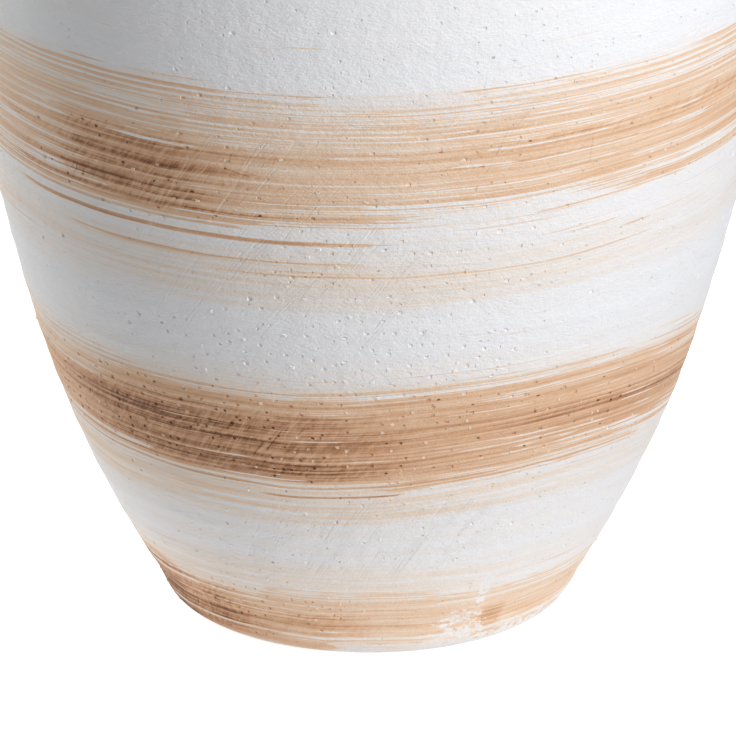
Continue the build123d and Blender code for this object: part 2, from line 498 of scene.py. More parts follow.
def pull_handle(node, path, across, half_sizes, rings=150, sides=64):
    """A pulled handle: rings swept along a path, spread into fillets at the wall."""
    places = -overrun + (1 + 2 * overrun) * (0.5 - 0.5 * np.cos(np.linspace(0, np.pi, rings)))
    at, way, length = along_path(path, places)
    thickness_way = np.cross(way, across)
    root = np.abs(2 * np.clip(places, 0, 1) - 1) ** 4
    spin = np.arange(sides) * 2 * np.pi / sides
    wide, thick = half_sizes(root)
    share = places[:, None]
    lump = 1 + 0.018 * np.sin(share * 17 + 2 * spin) + 0.012 * np.sin(share * 41 + 3 * spin)
    points = (
        at[:, None, :]
        + (wide[:, None] * np.cos(spin) * lump)[..., None] * np.asarray(across)
        + (thick[:, None] * np.sin(spin) * lump)[..., None] * thickness_way[:, None, :]
    ).reshape(-1, 3)

    away, outward = wall_distance(points)
    sideways = points - np.repeat(at, sides, axis=0)
    sideways -= outward * np.sum(sideways * outward, axis=1)[:, None]
    sideways /= np.linalg.norm(sideways, axis=1)[:, None]
    gap = np.clip(away, 0, fillet)
    spread = fillet - np.sqrt(fillet**2 - (fillet - gap) ** 2)
    points += sideways * spread[:, None]
    away, outward = wall_distance(points)
    points += outward * np.clip(-root_depth - away, 0, None)[:, None]

    faces = [
        (
            ring * sides + side,
            (ring + 1) * sides + side,
            (ring + 1) * sides + (side + 1) % sides,
            ring * sides + (side + 1) % sides,
        )
        for ring in range(rings - 1)
        for side in range(sides)
    ]
    faces.append(tuple(range(sides)))
    faces.append(tuple(reversed(range((rings - 1) * sides, rings * sides))))
    mesh = bpy.data.meshes.new(node)
    mesh.from_pydata((points * MM).tolist(), [], faces)
    stroke = mesh.attributes.new("stroke", "FLOAT_VECTOR", "POINT")
    around = np.stack(
        [
            np.tile(np.cos(spin), rings),
            np.tile(np.sin(spin), rings),
            np.repeat(np.clip(places, 0, 1) * length, sides),
        ],
        axis=1,
    )
    stroke.data.foreach_set("vector", around.astype(np.float32).ravel())
    edit = bmesh.new()
    edit.from_mesh(mesh)
    bmesh.ops.recalc_face_normals(edit, faces=edit.faces)
    for face in edit.faces:
        face.smooth = True
    edit.to_mesh(mesh)
    edit.free()
    mesh.set_sharp_from_angle(angle=math.radians(60))
    piece = bpy.data.objects.new(node + "_clay", mesh)
    scene.collection.objects.link(piece)
    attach(piece, "root")
    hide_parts(node)
    return piece


print("roots spread by up to", fillet, "mm and go", root_depth, "mm into the wall")

# %% [markdown]
# ### Two loops for lifting, and a strap for pouring
#
# Each loop is half an ellipse that tilts up from the widest part of the belly, so that a hand goes
# in from below. The strap arches from the neck down to the shoulder at the back. It is wider than
# thick, because it steadies the jar against the turn of the wrist.

# %% Paths of the handles
loop_half_span, loop_reach, loop_tilt = 50.0, 58.0, math.radians(30)
loop_centre = np.array([math.sqrt(belly_line[0] ** 2 - loop_half_span**2), 0, belly_line[1]])
loop_turn = np.linspace(-np.pi / 2, np.pi / 2, 241)


def loop_path(side):
    """Half an ellipse, out from the wall and back; side is 1 for +X and -1 for -X."""
    out = np.array([math.cos(loop_tilt), 0, math.sin(loop_tilt)])
    path = (
        loop_centre
        + loop_reach * np.cos(loop_turn)[:, None] * out
        + loop_half_span * np.sin(loop_turn)[:, None] * np.array([0, 1, 0])
    )
    return path * (side, 1, 1)


def loop_sizes(root):
    """Half width and half thickness of a loop, thicker at its roots."""
    return 11.0 + 5.0 * root, 11.0 + 5.0 * root


def strap_sizes(root):
    """Half width and half thickness of the strap."""
    return 15.0 + 5.0 * root, 8.0 + 4.0 * root


shoulder_wall = wall_curve(upper_seam, neck_joint, 0.5)
strap_foot_share = 0.4
strap_foot_row = round(strap_foot_share * (len(shoulder_wall) - 1))
foot_slope = shoulder_wall[strap_foot_row + 1] - shoulder_wall[strap_foot_row - 1]
foot_slope /= np.linalg.norm(foot_slope)
strap_foot = np.array([0, *shoulder_wall[strap_foot_row]])
strap_foot_out = np.array([0, foot_slope[1], -foot_slope[0]])
strap_rise, strap_lean = 8, math.radians(25)
top_pull, foot_pull = 60, 70
strap_top = np.array([0, neck_waist[0], neck_waist[1] + strap_rise])
strap_top_out = np.array([0, math.cos(strap_lean), math.sin(strap_lean)])
strap_path = bezier(
    (
        strap_top,
        strap_top + top_pull * strap_top_out,
        strap_foot + foot_pull * strap_foot_out,
        strap_foot,
    ),
    0.4,
)
print("strap's foot is at", strap_foot.round(1))

# %% The three handles
handles = {}
for node, side in (("right_handle", 1), ("left_handle", -1)):
    loop_across = (-side * math.sin(loop_tilt), 0, math.cos(loop_tilt))
    handles[node] = pull_handle(node, loop_path(side), loop_across, loop_sizes)
handles["pouring_handle"] = pull_handle("pouring_handle", strap_path, (1.0, 0, 0), strap_sizes)
for name, piece in handles.items():
    print(name, "has", len(piece.data.polygons), "faces")

# %% [markdown]
# ## A bench for wiring finishes
#
# A finish is a graph of shader nodes. Wiring each by hand hides the idea behind it, so this bench
# has one short call for each kind of node that the finishes need, and each call hands back the
# socket to wire on.

# %% Node bench
class FinishBench:
    """Adds nodes to one material and wires them."""

    def __init__(self, name):
        self.material = bpy.data.materials.new(name)
        self.material.use_nodes = True
        self.nodes = self.material.node_tree.nodes
        self.links = self.material.node_tree.links
        self.shader = self.nodes["Principled BSDF"]
        self.shader.inputs["Specular IOR Level"].default_value = 0.25

    def set(self, socket, value):
        if isinstance(value, bpy.types.NodeSocket):
            self.links.new(value, socket)
        else:
            socket.default_value = value

    def add(self, kind, *values, **settings):
        """A node with these settings, and with its inputs set or wired in order."""
        node = self.nodes.new("ShaderNode" + kind)
        for name, setting in settings.items():
            setattr(node, name, setting)
        for socket, value in zip(node.inputs, values):
            self.set(socket, value)
        return node

    def math(self, operation, first, second=0.0, third=0.0):
        return self.add("Math", first, second, third, operation=operation).outputs[0]

    def plus(self, first, second):
        return self.math("ADD", first, second)

    def minus(self, first, second):
        return self.math("SUBTRACT", first, second)

    def times(self, first, second):
        return self.math("MULTIPLY", first, second)

    def times_plus(self, first, second, third):
        """First times second, plus third."""
        return self.math("MULTIPLY_ADD", first, second, third)

    def vector(self, operation, first, second):
        return self.add("VectorMath", first, second, operation=operation).outputs[0]

    def parts(self, vector):
        return self.add("SeparateXYZ", vector).outputs

    def join(self, x, y, z):
        return self.add("CombineXYZ", x, y, z).outputs[0]

    def spread(self, value, low, high, to_low=0.0, to_high=1.0, smooth=False):
        """Value stretched from low..high to another range, and held at its ends, evenly or smoothly."""
        kind = "SMOOTHSTEP" if smooth else "LINEAR"
        numbers = (value, low, high, to_low, to_high)
        return self.add("MapRange", *numbers, interpolation_type=kind, clamp=not smooth).outputs[0]

    def noise(self, place, scale=(1, 1, 1), detail=2.0, rough=0.5):
        node = self.add("TexNoise")
        node.inputs["Scale"].default_value = 1.0
        node.inputs["Detail"].default_value = detail
        node.inputs["Roughness"].default_value = rough
        self.links.new(self.vector("MULTIPLY", place, scale), node.inputs["Vector"])
        return node.outputs["Fac"]

    def ramp(self, value, stops):
        """A colour ramp from (place, colour) stops."""
        node = self.add("ValToRGB", value)
        ramp = node.color_ramp
        while len(ramp.elements) < len(stops):
            ramp.elements.new(1.0)
        for element, (place, colour) in zip(ramp.elements, stops):
            element.position = place
            element.color = (*colour, 1.0)
        return node.outputs["Color"]

    def mix(self, share, first, second):
        node = self.add("Mix", data_type="RGBA")
        for socket, value in zip((node.inputs[0], node.inputs[6], node.inputs[7]), (share, first, second)):
            self.set(socket, value)
        return node.outputs[2]

    def bump(self, height_mm):
        node = self.add("Bump")
        node.inputs["Strength"].default_value = 1.0
        node.inputs["Distance"].default_value = MM
        self.links.new(height_mm, node.inputs["Height"])
        self.links.new(node.outputs["Normal"], self.shader.inputs["Normal"])

    def millimetres(self):
        """The point on the piece, in millimetres."""
        place = self.add("TexCoord").outputs["Object"]
        return self.vector("MULTIPLY", place, (1000, 1000, 1000))

    def attribute(self, name, output):
        return self.add("Attribute", attribute_name=name).outputs[output]


def from_screen(red, green, blue):
    """A colour as a screen shows it (0 to 255), as the light values that Blender mixes."""
    shares = [v / 255 for v in (red, green, blue)]
    return tuple(s / 12.92 if s <= 0.04045 else ((s + 0.055) / 1.055) ** 2.4 for s in shares)


print("bench ready")

# %% [markdown]
# ## The pigment
#
# The slip is a cool white. The brown is an iron wash: thin, it is a faint beige over the white, and
# thicker, it goes through tan to a dark brown. One ramp from no pigment to most serves the body and
# the handles, so that all pieces are painted from one pot.

# %% Pigment ramp
pigment_stops = [
    (0.00, from_screen(232, 234, 238)),
    (0.13, from_screen(231, 223, 215)),
    (0.31, from_screen(229, 206, 184)),
    (0.50, from_screen(221, 185, 153)),
    (0.67, from_screen(203, 158, 123)),
    (0.80, from_screen(176, 129, 95)),
    (0.91, from_screen(142, 97, 64)),
    (1.00, from_screen(108, 68, 43)),
]
print("pigment goes through", len(pigment_stops), "stops")

# %% [markdown]
# ## The painter's plan for the bands
#
# With the jar turning on a wheel, a wide flat brush is held against it, so every band is a stack of
# bristle lines at steady heights. The plan lists, from the foot up, how loaded the brush is (0 dry,
# 1 full), how much thin wash lies under it and how dark the pigment is. Between two entries it
# changes evenly. The same plan covers the front and the back.

# %% Band plan: (height in mm, load, wash, tone)
band_plan = [
    (0, 0.02, 0.05, 0.40), (3, 0.10, 0.08, 0.44), (4.6, 0.36, 0.12, 0.46), (9, 0.46, 0.14, 0.46),
    (10.3, 0.84, 0.18, 0.46), (16, 0.90, 0.20, 0.49), (20, 0.86, 0.18, 0.46), (23.6, 0.80, 0.16, 0.44),
    (24.6, 0.42, 0.12, 0.44), (26, 0.84, 0.18, 0.47), (28.6, 0.78, 0.16, 0.48), (29.8, 0.34, 0.13, 0.46),
    (33.5, 0.26, 0.12, 0.44), (36, 0.16, 0.12, 0.38), (43, 0.10, 0.09, 0.32), (49, 0.03, 0.03, 0.28),
    (64, 0.04, 0.05, 0.28), (70, 0.10, 0.16, 0.34), (76, 0.16, 0.18, 0.42), (79.5, 0.14, 0.14, 0.46),
    (82, 0.20, 0.14, 0.51), (84.6, 0.10, 0.11, 0.51), (85.3, 0.74, 0.10, 0.58), (86.7, 0.74, 0.10, 0.58),
    (87.3, 0.12, 0.10, 0.52), (88.6, 0.14, 0.10, 0.54), (89.2, 0.88, 0.24, 0.64), (92, 0.97, 0.28, 0.67),
    (96, 1.00, 0.26, 0.61), (102, 1.00, 0.28, 0.64), (109, 0.99, 0.26, 0.62), (112, 0.85, 0.20, 0.57),
    (113.2, 0.72, 0.16, 0.55), (116, 0.88, 0.22, 0.56), (119.4, 0.84, 0.20, 0.55), (120.6, 0.42, 0.12, 0.52),
    (124, 0.28, 0.09, 0.50), (127, 0.16, 0.07, 0.46), (130, 0.07, 0.04, 0.38), (134, 0.03, 0.03, 0.30),
    (138, 0.01, 0.01, 0.28), (152, 0.01, 0.01, 0.28), (156, 0.05, 0.05, 0.30), (162, 0.11, 0.10, 0.34),
    (168, 0.17, 0.12, 0.38), (173, 0.15, 0.11, 0.40), (177, 0.09, 0.07, 0.40), (180, 0.05, 0.05, 0.40),
    (186, 0.06, 0.04, 0.46), (188.6, 0.12, 0.06, 0.50), (189.6, 0.68, 0.05, 0.55), (192.5, 0.76, 0.06, 0.55),
    (194.5, 0.66, 0.05, 0.51), (197, 0.78, 0.06, 0.53), (200, 0.75, 0.06, 0.49), (203, 0.86, 0.08, 0.49),
    (208, 0.93, 0.16, 0.52), (211, 0.86, 0.16, 0.47), (213, 0.88, 0.14, 0.49), (215, 0.90, 0.18, 0.51),
    (218, 0.86, 0.16, 0.47), (219.5, 0.68, 0.10, 0.45), (222, 0.62, 0.09, 0.44), (226, 0.70, 0.10, 0.44),
    (229, 0.62, 0.10, 0.44), (233, 0.66, 0.10, 0.44), (236.5, 0.42, 0.06, 0.45), (239.5, 0.16, 0.05, 0.48),
    (241.5, 0.06, 0.02, 0.42), (246, 0.01, 0.01, 0.28), (296, 0.01, 0.01, 0.28), (303, 0.16, 0.10, 0.38),
    (308, 0.30, 0.12, 0.48), (310, 0.84, 0.20, 0.54), (321, 0.95, 0.26, 0.62), (331, 0.84, 0.20, 0.53),
    (335, 0.60, 0.12, 0.48), (342, 0.16, 0.08, 0.38), (348, 0.01, 0.01, 0.28), (382, 0.01, 0.01, 0.28),
    (386, 0.48, 0.11, 0.50), (388.5, 0.10, 0.05, 0.40), (396, 0.06, 0.04, 0.36), (402, 0.30, 0.12, 0.46),
    (405, 0.84, 0.20, 0.54), (417, 0.94, 0.26, 0.60), (427, 0.80, 0.20, 0.53), (431, 0.44, 0.12, 0.46),
    (438, 0.10, 0.05, 0.36), (456, 0.04, 0.03, 0.32), (462, 0.28, 0.11, 0.42), (466, 0.80, 0.20, 0.52),
    (476, 0.92, 0.26, 0.58), (480, 0.62, 0.18, 0.52),
]
print(len(band_plan), "entries from", band_plan[0][0], "to", band_plan[-1][0], "mm")

# %% [markdown]
# A colour ramp holds at most 32 stops, so the plan is dealt out to several ramps, and the height
# picks the ramp. Load, wash and tone travel together as the red, green and blue of each stop.

# %% Reading the plan in a finish
def read_plan(bench, height):
    """Load, wash and tone of the band plan at a height."""
    parts = [band_plan[i:i + 31] for i in range(0, len(band_plan) - 1, 30)]
    colour = None
    for part in parts:
        low, high = part[0][0], part[-1][0]
        stops = [((h - low) / (high - low), values) for h, *values in part]
        ramp = bench.ramp(bench.spread(height, low, high), stops)
        colour = ramp if colour is None else bench.mix(bench.math("GREATER_THAN", height, low), colour, ramp)
    return bench.add("SeparateColor", colour).outputs


print("the plan needs", math.ceil((len(band_plan) - 1) / 30), "ramps")

# %% [markdown]
# ## Marks that the brush left in one place only, and two that are partly painted shade
#
# Some marks don't run all the way round: a thin line where the brush was lifted, a stretch where it
# had just been dipped, a scar on the foot. Each is a stretch of height and a stretch of angle with
# soft ends, and it adds to the load and the tone there. Dark strokes are kept apart, because the
# thick pigment in them broke up into slanting ticks. Angle 0 faces the camera and grows towards the
# right handle. A mask hands its value on as the end of the next stretch, so that the many marks need
# few nodes: a shader that keeps too many values at once renders black.

# %% Brush marks and painted shade: (height, half height, soft edge, from angle, to angle, soft ends, load, tone)
brush_and_shade_marks = [
    # partly painted shade: darker brown on the lower left edge of the foot, where its underside is in shade
    (3.0, 2.5, 1.0, -60, -16, 10, 0.42, 0.12),
    (5.8, 1.5, 1.0, -8, 26, 6, -0.20, 0.0),
    (7.5, 2.0, 1.5, -80, -30, 10, 0.15, 0.05),
    (14, 4, 5, 32, 35, 4, 0.05, 0.22),
    (16, 13, 4, 4, 100, 14, 0.0, -0.07),
    (16, 12, 5, -100, -64, 16, 0.08, 0.24),
    (17, 12, 3, 72, 95, 8, -0.30, -0.06),
    (26.4, 1.2, 0.8, -22, 12, 8, 0.40, 0.04),
    (30.5, 2.0, 1.2, -46, -30, 6, -0.40, 0.0),
    (31.5, 2.5, 1.2, 22, 70, 8, -0.22, 0.0),
    (78.0, 0.2, 0.9, -80, -24, 10, 0.30, 0.02),
    (78.8, 0.1, 0.6, -16, 2, 6, 1.10, 0.34),
    (82.4, 1.6, 1.0, 8, 52, 10, 0.42, 0.04),
    (83.0, 0.1, 0.7, -78, 14, 12, 0.95, 0.12),
    (83.2, 0.1, 0.8, 92, 150, 12, 0.70, 0.10),
    (88.2, 0.9, 0.8, -36, 46, 10, 0.30, 0.04),
    (93, 5, 3, 28, 95, 14, -0.12, -0.02),
    (102, 10, 3, 14, 95, 12, 0.0, 0.03),
    (112.8, 0.2, 0.5, -90, -20, 8, -0.55, -0.06),
    (117, 4.0, 1.6, -110, -62, 10, -0.16, -0.08),
    (117, 5, 2, -46, -10, 8, 0.12, 0.05),
    (128, 4, 2, -90, -46, 10, 0.12, 0.03),
    (169.6, 0.0, 0.6, -18, 36, 12, 0.42, 0.06),
    (174.6, 0.0, 0.6, -44, -8, 8, 0.62, 0.12),
    (182.7, 0.5, 0.7, -44, -16, 26, 1.00, 0.32),
    (184.0, 0.1, 0.8, -160, -98, 12, 0.80, 0.12),
    (188.4, 1.4, 1.0, -66, -25, 12, 0.60, 0.05),
    (191.6, 1.2, 1.2, 12, 38, 8, -0.40, 0.0),
    (197, 5.5, 2.5, 6, 26, 12, -0.36, -0.02),
    (200, 4.0, 2.5, 44, 100, 8, -0.20, 0.0),
    (205, 16, 4, -110, -50, 14, -0.26, -0.02),
    (209.5, 0.8, 1.2, 20, 50, 8, -0.24, 0.0),
    (210, 9, 5, -14, 8, 7, 0.0, -0.08),
    (216, 1.2, 1.0, -26, 10, 8, 0.28, 0.06),
    (218, 1.5, 1.5, 22, 50, 8, -0.30, -0.03),
    (226, 8, 5, -32, 8, 14, -0.23, -0.01),
    (230, 1.6, 1.5, -22, 26, 8, 0.20, 0.04),
    (237, 2.0, 1.5, -4, 10, 5, -0.20, 0.0),
    # partly painted shade: darkens the top left of the upper band, where the wall is in shade
    (238, 4, 3, -48, -26, 8, 0.16, 0.05),
    (239.2, 0.0, 0.7, -44, 26, 12, 0.56, 0.10),
]
dark_strokes = [
    (15, 5, 4, -40, -8, 14, 0.03, 0.14),
    (16, 9, 5, -90, -46, 20, 0.06, 0.20),
    (91.2, 1.4, 1.6, -60, -4, 16, 0.06, 0.05),
    (97.5, 0.6, 1.4, 40, 84, 12, 0.03, 0.06),
    (100, 12, 5, -42, -13, 26, 0.06, 0.22),
    (100, 13, 4, 134, 158, 10, 0.06, 0.14),
    (102.5, 1.0, 1.8, 34, 84, 14, 0.04, 0.10),
    (105.5, 2.6, 2.5, -66, -26, 14, 0.06, 0.10),
    (191.6, 0.7, 1.2, -56, -18, 12, 0.16, 0.16),
    (197, 1.4, 1.6, -54, -26, 12, 0.16, 0.14),
    (203.4, 0.4, 1.0, -50, -15, 10, 0.06, 0.12),
    (205, 14, 5, 110, 140, 12, 0.08, 0.14),
    (206, 11, 6, -43, -29, 9, 0.10, 0.20),
    (208.3, 0.8, 1.4, -56, -22, 12, 0.10, 0.15),
    (210.4, 0.5, 1.0, 4, 70, 14, 0.06, 0.12),
    (215.6, 1.0, 1.4, -52, 12, 14, 0.06, 0.08),
    (216.6, 1.6, 1.8, 24, 76, 12, 0.06, 0.16),
]


def stretch_mask(bench, height, angle, stretch):
    """1 inside a stretch of height and angle, falling to 0 over its soft edges."""
    middle, half, soft, start, end, soft_end = stretch
    off = bench.math("ABSOLUTE", bench.minus(height, middle))
    mask = bench.spread(off, half, half + soft, 1.0, 0.0, smooth=True)
    mask = bench.spread(angle, start - soft_end, start, 0.0, mask, smooth=True)
    return bench.spread(angle, end, end + soft_end, mask, 0.0, smooth=True)


def add_marks(bench, height, angle, marks):
    """Extra load and extra tone from a list of marks."""
    load = tone = 0.0
    for *stretch, more_load, more_tone in marks:
        mask = stretch_mask(bench, height, angle, stretch)
        load = bench.times_plus(mask, more_load, load)
        tone = bench.times_plus(mask, more_tone, tone)
    return load, tone


print(len(brush_and_shade_marks), "marks and", len(dark_strokes), "dark strokes")

# %% [markdown]
# ## Where on the jar a point is
#
# The brush lines need three things from a point: its height in millimetres, its angle round the
# axis, and its direction from the axis as a unit vector. Noise that is read at the unit vector runs
# round the jar without a seam, which noise that is read at the angle can't do.

# %% Place on the jar
def place_on_jar(bench):
    """The point in millimetres, its height, angle in degrees, and the two parts of its direction."""
    millimetres = bench.millimetres()
    x, y, level = bench.parts(millimetres)
    outward = bench.vector("NORMALIZE", bench.vector("MULTIPLY", millimetres, (1, 1, 0)), (0, 0, 0))
    sine, minus_cosine, _ = bench.parts(outward)
    angle = bench.math("ARCTAN2", x, bench.times(y, -1))
    return millimetres, level, bench.times(angle, 180 / math.pi), sine, minus_cosine


print("places are read from the piece itself, which stands at the origin")

# %% [markdown]
# ## How the brush lines wander
#
# The brush stood still while the jar turned, but the jar wasn't quite level on the wheel and its
# wall wasn't quite round. So the lines of the upper bands ride up at both sides, those of the middle
# band swing down at the left and up at the right of the front, and all of them sway. Taking that off
# the real height gives the height on the painter's plan.

# %% Height on the painter's plan
def planned_height(bench, level, sine, minus_cosine):
    """The height of a point on the plan, from its real height and its direction."""
    upper_lift = bench.times(sine, bench.times_plus(sine, 8.4, 2.0))
    front = bench.math("MAXIMUM", bench.times(minus_cosine, -2.0), 0.0)
    swing = bench.times(sine, front)
    middle_lift = bench.times(swing, bench.times_plus(swing, 2.1, 5.9))
    slope = bench.times(sine, bench.times_plus(sine, 1.7, -4.7))
    middle_lift = bench.minus(bench.plus(middle_lift, slope), 0.75)
    middle_share = bench.times(bench.spread(level, 45, 80), bench.spread(level, 128, 168, 1, 0))
    lift = bench.times(middle_lift, middle_share)
    lift = bench.times_plus(upper_lift, bench.spread(level, 128, 168), lift)
    sway_place = bench.join(sine, minus_cosine, level)
    sway = bench.minus(bench.noise(sway_place, (1.6, 1.6, 0.012), 2.0), 0.5)
    return bench.times_plus(sway, -4.0, bench.minus(level, lift))


print("lines swing by 6 mm in the middle band and rise by 8 mm in the upper ones")

# %% [markdown]
# ## Bristle lines
#
# A drying brush covers the high bristle lines and skips the low ones. That is a noise stretched
# round the jar: it hardly changes with the angle and changes quickly with the height. Where the
# load is more than this dryness, the wall is covered. Three such noises, from broad to hair-fine,
# give swathes, lines and hairs at once.
#
# The crisp white lines inside a band are bristles that left no paint at all. For these the wall is
# counted off in rows about as tall as a tuft of bristles. Every row has a chance of its own, by its
# number, and a noise along it that says for which lengths the tuft was dry. The drier the brush, the
# more rows keep a white line. Where there is almost no paint, other rows lay a thin brown one.

# %% Coverage by the brush
def bristle_rows(bench, brush, rows_per_mm):
    """Distance from the middle of the row in mm, the row's chance, and how dry it is along its length."""
    sine, minus_cosine, height = bench.parts(brush)
    wobble = bench.noise(brush, (0.45, 0.45, 0.09), 0.0)
    row = bench.times(bench.times_plus(wobble, 4.0, height), rows_per_mm)
    number = bench.math("FLOOR", row)
    off = bench.math("ABSOLUTE", bench.minus(bench.math("FRACT", row), 0.5))
    dice = bench.add("TexWhiteNoise", noise_dimensions="1D")
    bench.links.new(number, dice.inputs["W"])
    along = bench.join(sine, minus_cosine, bench.times(number, 2.3))
    lengths = bench.noise(along, (3.2, 3.2, 1.7), 1.0)
    return bench.math("DIVIDE", off, rows_per_mm), dice.outputs["Value"], bench.minus(lengths, 0.5)


def row_line(bench, off, chance, lengths, share, half_width):
    """1 on the lines of the rows whose chance is below the share, for part of their length."""
    dry = bench.minus(bench.times_plus(lengths, 2.4, share), chance)
    reach = bench.times(bench.spread(dry, 0.0, 0.25), half_width)
    return bench.spread(bench.minus(off, reach), -0.12, 0.04, 1.0, 0.0)


def brush_coverage(bench, brush, loaded):
    """How far the wall is covered, how much darker each row is, and the dryness of each fineness."""
    broad = bench.noise(brush, (1.0, 1.0, 0.30), 2.0)
    middle = bench.noise(brush, (1.7, 1.7, 0.95), 2.0)
    fine = bench.noise(brush, (3.8, 3.8, 2.4), 1.0)
    dryness = bench.times_plus(middle, 0.40, bench.times(broad, 0.30))
    dryness = bench.spread(bench.times_plus(fine, 0.30, dryness), 0.37, 0.66, 0.0, 0.62)
    covered = bench.spread(bench.minus(loaded, dryness), -0.05, 0.06)
    white_share = bench.spread(loaded, 1.0, 0.52, -0.12, 0.85)
    brown_share = bench.spread(loaded, 0.06, 0.42, -0.45, 0.45)
    brown = row_tone = 0.0
    for rows_per_mm, half_width, tone_step in ((0.42, 0.58, 0.20), (0.95, 0.30, 0.16)):
        off, chance, lengths = bristle_rows(bench, brush, rows_per_mm)
        white = row_line(bench, off, chance, lengths, white_share, half_width)
        covered = bench.times(covered, bench.minus(1.0, white))
        other = row_line(bench, off, bench.minus(1.0, chance), lengths, brown_share, half_width)
        brown = bench.math("MAXIMUM", brown, other)
        along = bench.times_plus(lengths, 1.5, bench.minus(chance, 0.5))
        along = bench.times(along, bench.spread(off, 0.0, 0.5 / rows_per_mm, tone_step, 0.0))
        row_tone = bench.plus(row_tone, along)
    covered = bench.math("MAXIMUM", covered, bench.times(brown, 0.75))
    return covered, row_tone, broad, middle, fine


print("two sets of bristle rows, 2.4 and 1.1 mm tall")

# %% [markdown]
# ## Ticks and scratches
#
# The wall was scraped before it was painted, so thick pigment lies in short slanting ticks, and some
# patches show longer scratches. Both lean the same way. Turning each point back round the axis, more
# the higher it is, makes an upright pattern lean without a seam anywhere. A few nicks, where a tool
# touched the damp wall, are single lines: each has a height, an angle, half a length and a lean.

# %% Leaning patterns
# height, half height, soft edge, from angle, to angle, soft ends
scratch_patches = [
    (204, 12, 12, -30, -10, 12),
    (166, 20, 8, -32, 6, 8),
    (58, 14, 8, -24, 20, 10),
    (104, 8, 8, -30, -16, 8),
    (232, 6, 6, -8, 20, 8),
    (160, 40, 20, 110, 150, 15),
]
# height, angle, half length, lean
nicks = [
    (219.0, 18.0, 5.6, 24), (210.0, 16.4, 2.6, 35), (213.0, 31.8, 5.4, 3), (208.4, -18.4, 5.4, 105),
    (206.7, -13.9, 5.6, 94), (213.8, -19.1, 2.6, 20), (213.0, -13.0, 3.4, 22), (198.5, -46.0, 4.6, 32),
    (101.0, -16.4, 6.8, 36), (97.0, -19.4, 4.6, 38), (159.0, -17.6, 6.0, 38), (174.5, -26.5, 5.4, 36),
    (150.0, 140.0, 8.0, 26), (208.0, 155.0, 5.0, 20),
]


def nick_lines(bench, level, angle):
    """0 to 1 on the nicks."""
    total = 0.0
    for height, place, half, lean in nicks:
        arc_mm = math.radians(np.interp(height, outline[:, 1], outline[:, 0]))
        aside = bench.times(bench.minus(angle, place), arc_mm)
        above = bench.minus(level, height)
        sine, cosine = math.sin(math.radians(lean)), math.cos(math.radians(lean))
        off = bench.times_plus(above, -sine, bench.times(aside, cosine))
        along = bench.times_plus(above, cosine, bench.times(aside, sine))
        line = bench.spread(bench.math("ABSOLUTE", off), 0.10, 0.42, 1.0, 0.0, smooth=True)
        line = bench.spread(bench.math("ABSOLUTE", along), half - 2, half, line, 0.0, smooth=True)
        total = bench.math("MAXIMUM", total, line)
    return total


def leaned(bench, millimetres, level, lean):
    """The point turned back round the axis by lean radians for each millimetre of height."""
    node = bench.add("VectorRotate", rotation_type="Z_AXIS")
    bench.links.new(millimetres, node.inputs["Vector"])
    bench.links.new(bench.times(level, -lean), node.inputs["Angle"])
    return node.outputs[0]


def scratches(bench, upright, level, angle):
    """0 to 1 in the slanting scratches. Upright is the direction from the axis, and the height."""
    where = 0.0
    for patch in scratch_patches:
        where = bench.math("MAXIMUM", where, stretch_mask(bench, level, angle, patch))
    total = 0.0
    for lean, scale in ((0.0050, (40, 40, 0.012)), (0.0061, (62, 62, 0.016))):
        slanting = leaned(bench, upright, level, lean)
        lines = bench.noise(slanting, scale, 0.0)
        off_line = bench.math("ABSOLUTE", bench.minus(lines, 0.5))
        total = bench.math("MAXIMUM", total, bench.spread(off_line, 0.006, 0.034, 1.0, 0.0))
    patchy = bench.spread(bench.noise(slanting, (15, 15, 0.04), 1.0), 0.42, 0.60)
    return bench.times(bench.times(total, where), patchy)


print(len(scratch_patches), "scraped patches and", len(nicks), "nicks")

# %% [markdown]
# ## Pocks
#
# Coarse clay also has pocks that are smaller than the modelled pinholes. They are the middles of
# some of the cells of a Voronoi texture, each with a size of its own.

# %% Pocks
def pocks(bench, millimetres):
    """0 to 1 in small round pocks, in about a fifth of the cells, and each cell's chance."""
    cells = bench.add("TexVoronoi")
    cells.inputs["Scale"].default_value = 1.0
    bench.links.new(bench.vector("MULTIPLY", millimetres, (0.40, 0.40, 0.40)), cells.inputs["Vector"])
    chance, _, size = bench.parts(cells.outputs["Color"])
    some = bench.math("GREATER_THAN", chance, 0.78)
    reach = bench.times(some, bench.spread(size, 0, 1, 0.12, 0.30))
    depth = bench.spread(bench.minus(reach, cells.outputs["Distance"]), 0.0, 0.14, smooth=True)
    return depth, chance


print("pocks come in about one cell in five")

# %% [markdown]
# ## Worn places
#
# On the foot a splash is worn back to the white slip, with a scar above it, and the edge of the
# foot is rubbed bare on the right. Each is a soft stretch that is broken up by a coarse noise.

# %% Worn places
splash_stretch = (11, 3, 12, 21, 27, 9)
scar_stretch = (30, 5, 7, 27.6, 28.8, 2.6)
rubbed_stretch = (3, 1, 9, 30, 70, 14)


def worn_back(bench, millimetres, level, angle):
    """0 to 1 where the paint is worn back to the slip."""
    splash = stretch_mask(bench, level, angle, splash_stretch)
    scar = stretch_mask(bench, level, angle, scar_stretch)
    splash = bench.math("MAXIMUM", splash, bench.times(scar, 0.9))
    splash = bench.math("MAXIMUM", splash, stretch_mask(bench, level, angle, rubbed_stretch))
    flecks = bench.noise(millimetres, (0.30, 0.30, 0.50), 4.0, 0.70)
    return bench.spread(bench.times_plus(splash, 0.21, flecks), 0.66, 0.74)


print("three worn places on the foot")
